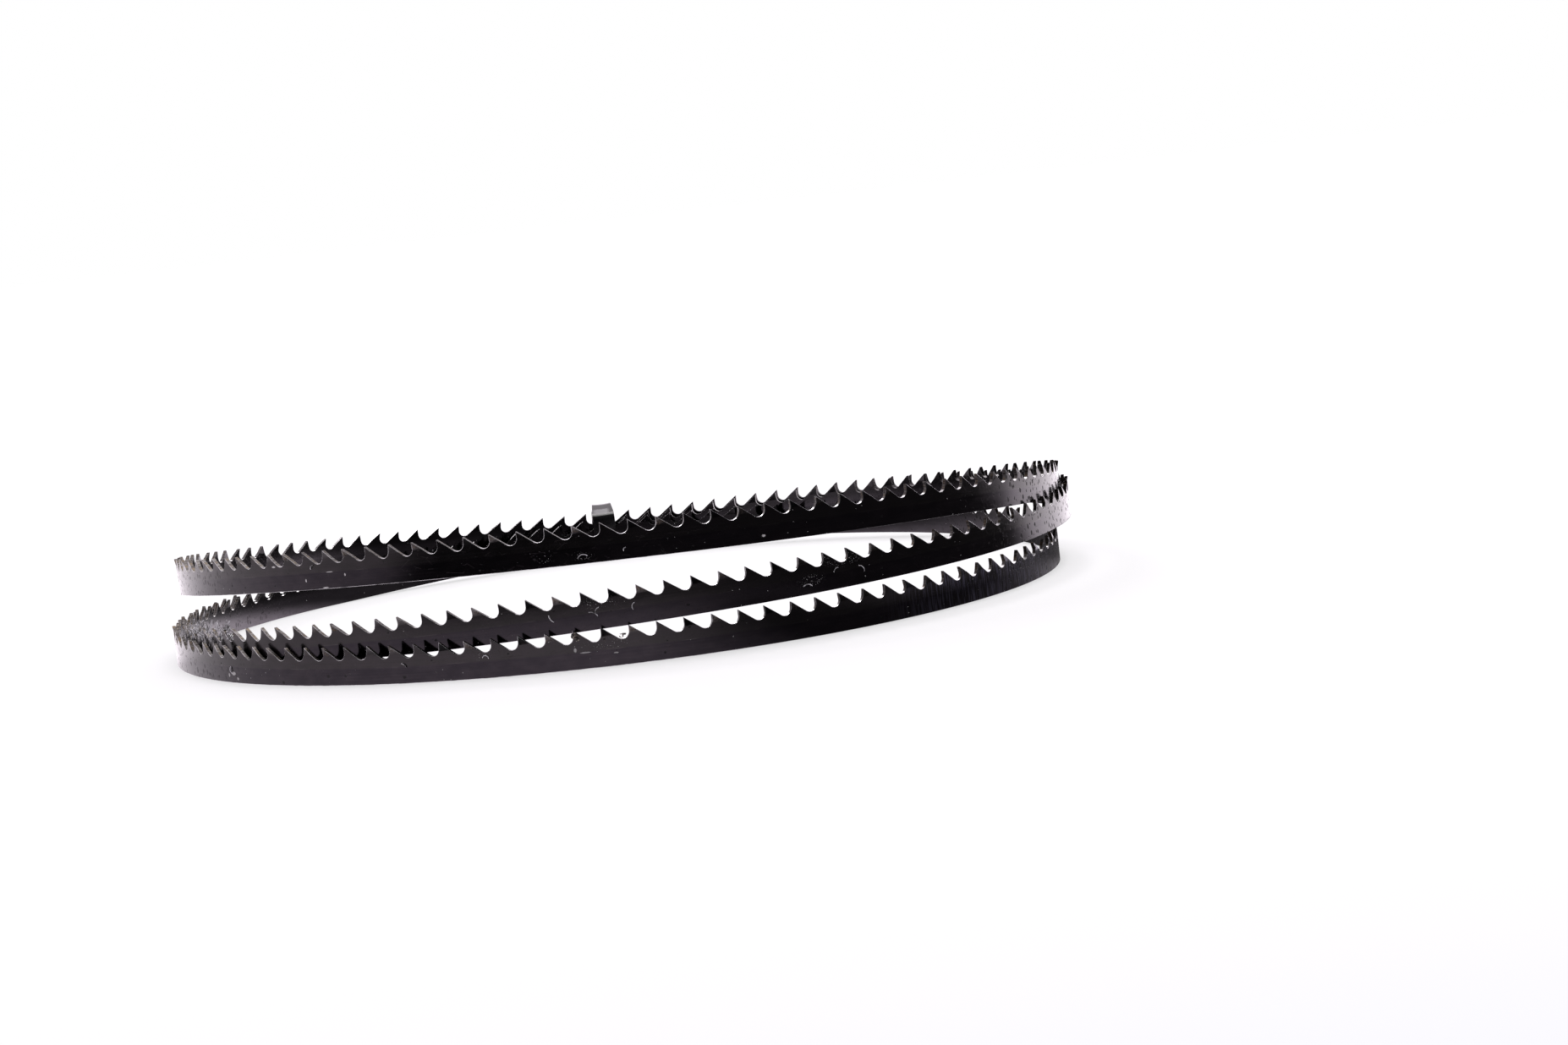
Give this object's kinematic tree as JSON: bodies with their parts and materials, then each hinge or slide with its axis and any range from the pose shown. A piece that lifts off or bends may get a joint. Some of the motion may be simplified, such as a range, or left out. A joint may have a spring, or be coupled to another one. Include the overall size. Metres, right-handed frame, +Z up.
{
  "type": "band saw blade",
  "caption": "Endless narrow toothed steel band, folded into a flat coil of loops and held by one strap.",
  "frame": {"origin": "under the middle of the part, on the surface that it lies on", "axes": "+Z up, square to the coil, with the teeth pointing up; +Y towards the strap"},
  "size_m": [0.1542, 0.1578, 0.0216],
  "materials": {
    "dark_carbon_steel": "blue-black rolled steel with a satin sheen, bright worn edges and small dark pits",
    "black_plastic": "smooth black plastic strap with a soft sheen"
  },
  "bodies": {
    "root": {"blade_band": "dark_carbon_steel", "strap_tie": "black_plastic"}
  },
  "joints": []
}
